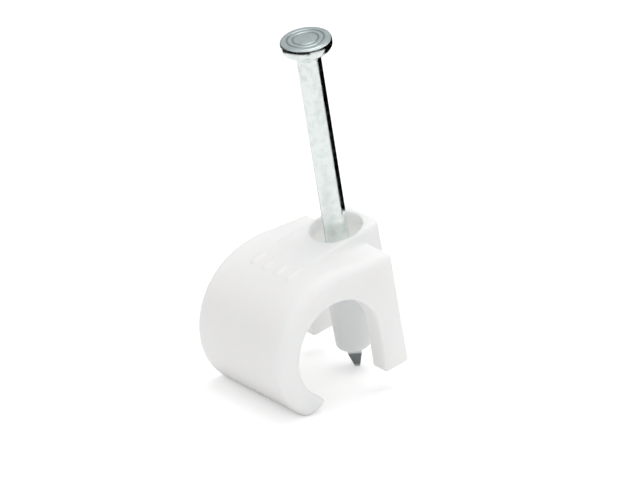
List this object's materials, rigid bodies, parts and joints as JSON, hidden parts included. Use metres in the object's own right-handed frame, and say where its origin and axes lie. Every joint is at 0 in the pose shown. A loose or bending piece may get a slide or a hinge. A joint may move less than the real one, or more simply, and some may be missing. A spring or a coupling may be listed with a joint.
{
  "type": "cable clip",
  "caption": "Round nail-in cable clip: an open moulded hook for the cable, feet that stand on the wall, and a steel nail held in a guide beside the hook until it is driven home.",
  "frame": {"origin": "on the nail's axis, in the plane of the feet, which is the wall that the clip is nailed to", "axes": "+Z out of the wall along the nail towards its head; X across the cable, with the hook at -X; Y along the cable"},
  "size_m": [0.0165, 0.0126, 0.035],
  "materials": {
    "clip": "satin white moulded polypropylene",
    "nail": "hardened steel with bright zinc plate"
  },
  "bodies": {
    "clip": {"clip": "clip"},
    "nail": {"nail": "nail"}
  },
  "joints": [
    {"name": "nail_drive", "type": "slide", "parent": "clip", "child": "nail", "axis": [0, 0, 1], "range_m": [-0.01995, 0]}
  ]
}
